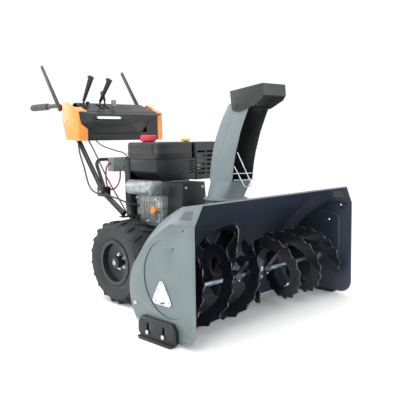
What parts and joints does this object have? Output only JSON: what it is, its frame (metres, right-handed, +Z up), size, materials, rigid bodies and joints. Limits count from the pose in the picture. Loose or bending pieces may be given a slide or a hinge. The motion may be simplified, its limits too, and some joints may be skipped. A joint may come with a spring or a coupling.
{
  "type": "two stage snowblower",
  "caption": "Walk-behind two stage snowblower: wide auger housing, turning chute with tilting deflector, petrol engine, driven wheels, handles with console and clutch levers.",
  "frame": {"origin": "on the ground, under the middle of the machine's length and width", "axes": "+X to the operator's left, +Y back towards the operator, +Z up; the auger housing opens towards -Y"},
  "size_m": [1.1526, 1.64, 1.214],
  "materials": {
    "silver_paint": "satin powder coat",
    "grey_paint": "satin powder coat",
    "dark_grey_paint": "satin powder coat",
    "black_paint": "semi-gloss powder coat",
    "zinc": "zinc plated",
    "steel": "turned",
    "cast_case": "painted casting",
    "bronze": "machined",
    "cast_aluminium": "as cast",
    "black_plastic": "moulded, fine grain",
    "tank_plastic": "moulded",
    "orange_plastic": "moulded",
    "orange_cap": "moulded",
    "red_plastic": "moulded",
    "yellow_plastic": "moulded",
    "grey_plastic": "moulded",
    "lens": "clear moulded lens",
    "grip_rubber": "matt",
    "belt_rubber": "matt",
    "cable_jacket": "smooth",
    "red_jacket": "smooth",
    "tyre_rubber": "moulded tread"
  },
  "bodies": {
    "machine": {"auger_housing": "silver_paint", "side_plate_left": "silver_paint", "side_plate_right": "silver_paint", "impeller_drum": "silver_paint", "scraper_bar": "black_paint", "auger_bearings": "zinc", "gearbox_case": "cast_case", "chassis_frame": "black_paint", "belt_cover": "black_plastic", "auger_belt": "belt_rubber", "engine_block": "cast_aluminium", "engine_shroud": "black_plastic", "snow_shield": "black_plastic", "muffler_guard": "black_paint", "muffler": "steel", "fuel_tank": "tank_plastic", "starter_motor": "cast_aluminium", "switch_box": "grey_plastic", "lower_handles": "black_paint", "upper_handles": "black_paint", "handle_brace": "black_paint", "handle_grips": "grip_rubber", "console_body": "orange_plastic", "console_panel": "black_plastic", "headlight": "lens", "chute_base_ring": "black_plastic", "frame_bolts": "zinc", "cable_harness": "cable_jacket", "cable_light": "cable_jacket", "cable_drive": "cable_jacket", "red_lead": "red_jacket"},
    "auger": {"auger_shaft": "steel", "auger_flights_left": "black_paint", "auger_flights_right": "black_paint", "shear_bolts": "zinc", "worm_wheel": "bronze"},
    "impeller": {"impeller_shaft": "steel", "impeller_fan": "black_paint", "impeller_pulley": "steel"},
    "crank": {"crankshaft": "steel"},
    "wheels": {"drive_axle": "steel", "tyre_left": "tyre_rubber", "tyre_right": "tyre_rubber", "wheel_rims": "black_paint"},
    "chute": {"chute": "grey_paint", "chute_guard": "zinc"},
    "deflector": {"chute_deflector": "dark_grey_paint"},
    "drive_lever": {"drive_lever": "black_plastic"},
    "auger_lever": {"auger_lever": "black_plastic"},
    "speed_lever": {"speed_lever": "black_plastic"},
    "chute_lever": {"chute_lever": "black_plastic"},
    "deflector_lever": {"deflector_lever": "black_plastic"},
    "fuel_cap": {"fuel_cap": "red_plastic"},
    "side_cap": {"side_cap": "yellow_plastic"},
    "oil_dipstick": {"oil_dipstick": "orange_cap"},
    "recoil_handle": {"recoil_handle": "black_plastic"},
    "skid_left": {"skid_left": "black_plastic"},
    "skid_right": {"skid_right": "black_plastic"},
    "light_switch": {"light_switch": "grey_plastic"},
    "start_button": {"start_button": "black_plastic"}
  },
  "joints": [
    {"name": "auger_spin", "type": "hinge", "parent": "machine", "child": "auger", "pos_m": [0, -0.63, 0.185], "axis": [1, 0, 0], "continuous": true},
    {"name": "impeller_spin", "type": "hinge", "parent": "machine", "child": "impeller", "pos_m": [0, -0.42, 0.23], "axis": [0, 1, 0], "continuous": true},
    {"name": "crank_spin", "type": "hinge", "parent": "machine", "child": "crank", "pos_m": [-0.05, -0.27, 0.47], "axis": [0, 1, 0], "continuous": true},
    {"name": "wheel_spin", "type": "hinge", "parent": "machine", "child": "wheels", "pos_m": [0, -0.054, 0.203], "axis": [1, 0, 0], "continuous": true},
    {"name": "chute_turn", "type": "hinge", "parent": "machine", "child": "chute", "pos_m": [0, -0.475, 0.515], "axis": [0, 0, 1], "range_deg": [-100, 100]},
    {"name": "deflector_tilt", "type": "hinge", "parent": "chute", "child": "deflector", "pos_m": [0, -0.615, 0.93], "axis": [1, 0, 0], "range_deg": [-15, 45]},
    {"name": "drive_lever_press", "type": "hinge", "parent": "machine", "child": "drive_lever", "pos_m": [0.275, 0.485, 0.966], "axis": [1, 0, 0], "range_deg": [-38, 0], "stiffness_Nm_per_rad": 3, "springref_deg": 20.05},
    {"name": "auger_lever_press", "type": "hinge", "parent": "machine", "child": "auger_lever", "pos_m": [-0.275, 0.485, 0.966], "axis": [1, 0, 0], "range_deg": [-38, 0], "stiffness_Nm_per_rad": 3, "springref_deg": 20.05},
    {"name": "speed_lever_tilt", "type": "hinge", "parent": "machine", "child": "speed_lever", "pos_m": [-0.209, 0.365, 0.905], "axis": [1, 0, 0], "range_deg": [-12, 12]},
    {"name": "chute_lever_tilt", "type": "hinge", "parent": "machine", "child": "chute_lever", "pos_m": [-0.103, 0.365, 0.905], "axis": [1, 0, 0], "range_deg": [-12, 12]},
    {"name": "deflector_lever_tilt", "type": "hinge", "parent": "machine", "child": "deflector_lever", "pos_m": [-0.062, 0.365, 0.905], "axis": [1, 0, 0], "range_deg": [-3.1, 9.1]},
    {"name": "fuel_cap_twist", "type": "hinge", "parent": "machine", "child": "fuel_cap", "pos_m": [-0.13, -0.08, 0.8], "axis": [0, 0, 1], "range_deg": [0, 90]},
    {"name": "side_cap_twist", "type": "hinge", "parent": "machine", "child": "side_cap", "pos_m": [0.03, -0.18, 0.79], "axis": [0, 0, 1], "range_deg": [0, 90]},
    {"name": "dipstick_twist", "type": "hinge", "parent": "machine", "child": "oil_dipstick", "pos_m": [-0.196, -0.195, 0.455], "axis": [-0.9772, 0, 0.2124], "range_deg": [0, 90]},
    {"name": "recoil_pull", "type": "slide", "parent": "machine", "child": "recoil_handle", "axis": [0, 1, 0], "range_m": [0, 0.3], "stiffness_N_per_m": 20, "springref_m": -0.1},
    {"name": "skid_left_height", "type": "slide", "parent": "machine", "child": "skid_left", "axis": [0, 0, 1], "range_m": [-0.025, 0]},
    {"name": "skid_right_height", "type": "slide", "parent": "machine", "child": "skid_right", "axis": [0, 0, 1], "range_m": [-0.025, 0]},
    {"name": "light_switch_press", "type": "slide", "parent": "machine", "child": "light_switch", "axis": [0, 0, -1], "range_m": [0, 0.003], "stiffness_N_per_m": 600, "springref_m": -0.002},
    {"name": "start_button_press", "type": "slide", "parent": "machine", "child": "start_button", "axis": [0, 0, -1], "range_m": [0, 0.002], "stiffness_N_per_m": 600, "springref_m": -0.002}
  ],
  "couplings": [
    {"joint": "impeller_spin", "follows": "auger_spin", "ratio": 10},
    {"joint": "chute_lever_tilt", "follows": "chute_turn", "ratio": 0.12},
    {"joint": "deflector_lever_tilt", "follows": "deflector_tilt", "ratio": 0.2}
  ]
}
